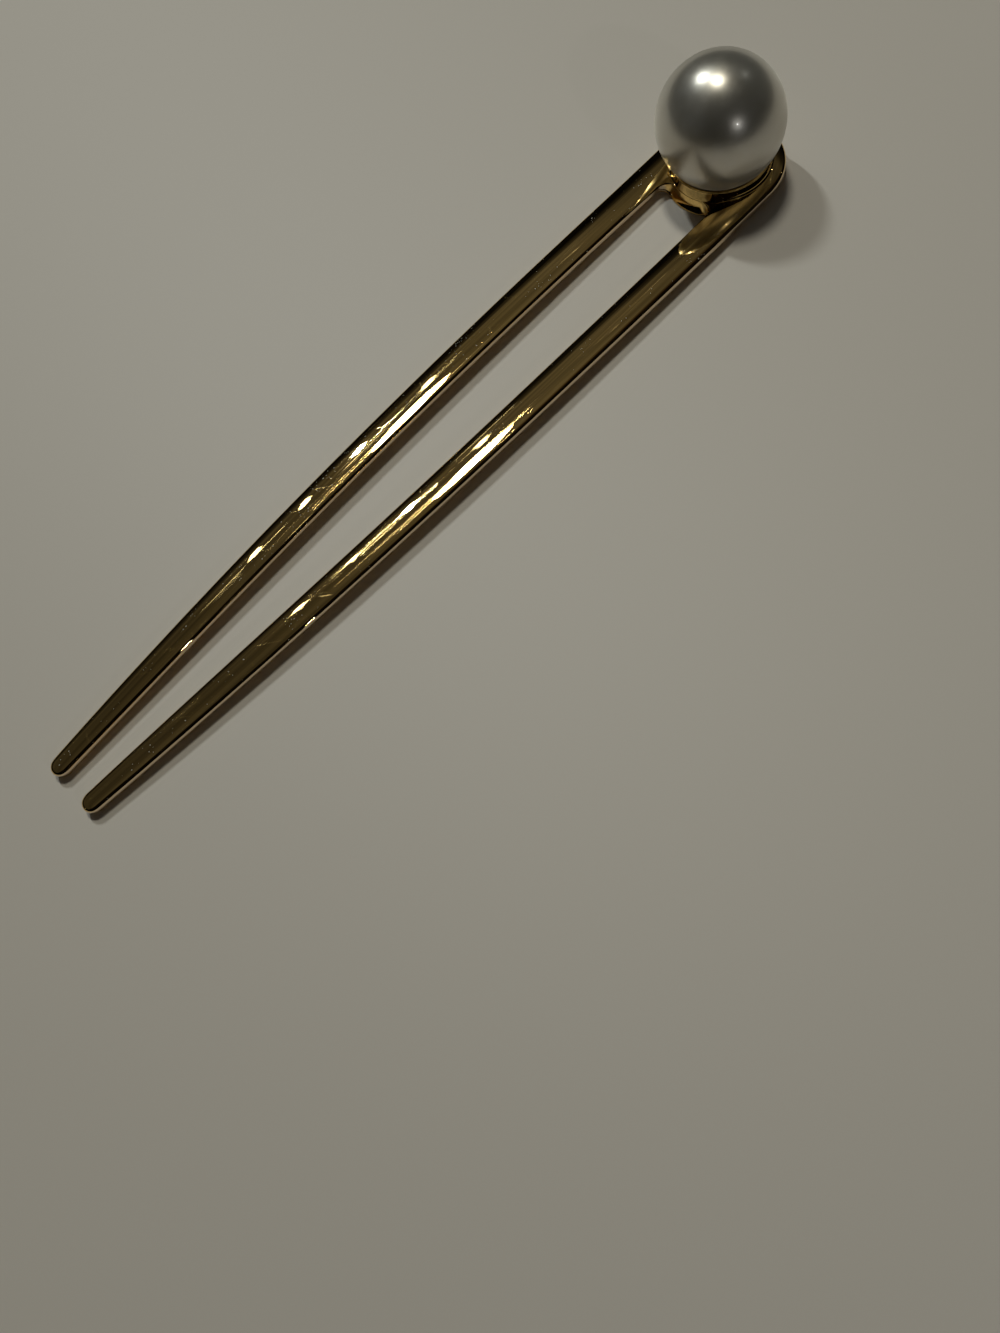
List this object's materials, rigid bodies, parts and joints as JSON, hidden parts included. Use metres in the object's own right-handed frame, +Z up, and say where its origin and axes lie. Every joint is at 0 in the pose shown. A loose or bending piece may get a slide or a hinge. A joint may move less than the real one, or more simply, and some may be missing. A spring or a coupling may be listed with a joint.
{
  "type": "hair fork",
  "caption": "Hair fork: flat tines that arch slightly and taper to round tips, joined by a round crown that carries a large round pearl in a low cup.",
  "frame": {"origin": "on the surface that the fork lies on, right under the centre of the pearl", "axes": "+X runs along the tines to their tips, +Z points up from the surface through the pearl, and +Y makes a right-handed frame across the tines"},
  "size_m": [0.1195, 0.0164, 0.0167],
  "materials": {
    "gold": "mirror-polished gold plating on a cast metal, with fine wear scratches",
    "pearl": "glossy imitation-pearl lacquer with a soft lustre"
  },
  "bodies": {
    "root": {"fork": "gold", "pearl": "pearl"}
  },
  "joints": []
}
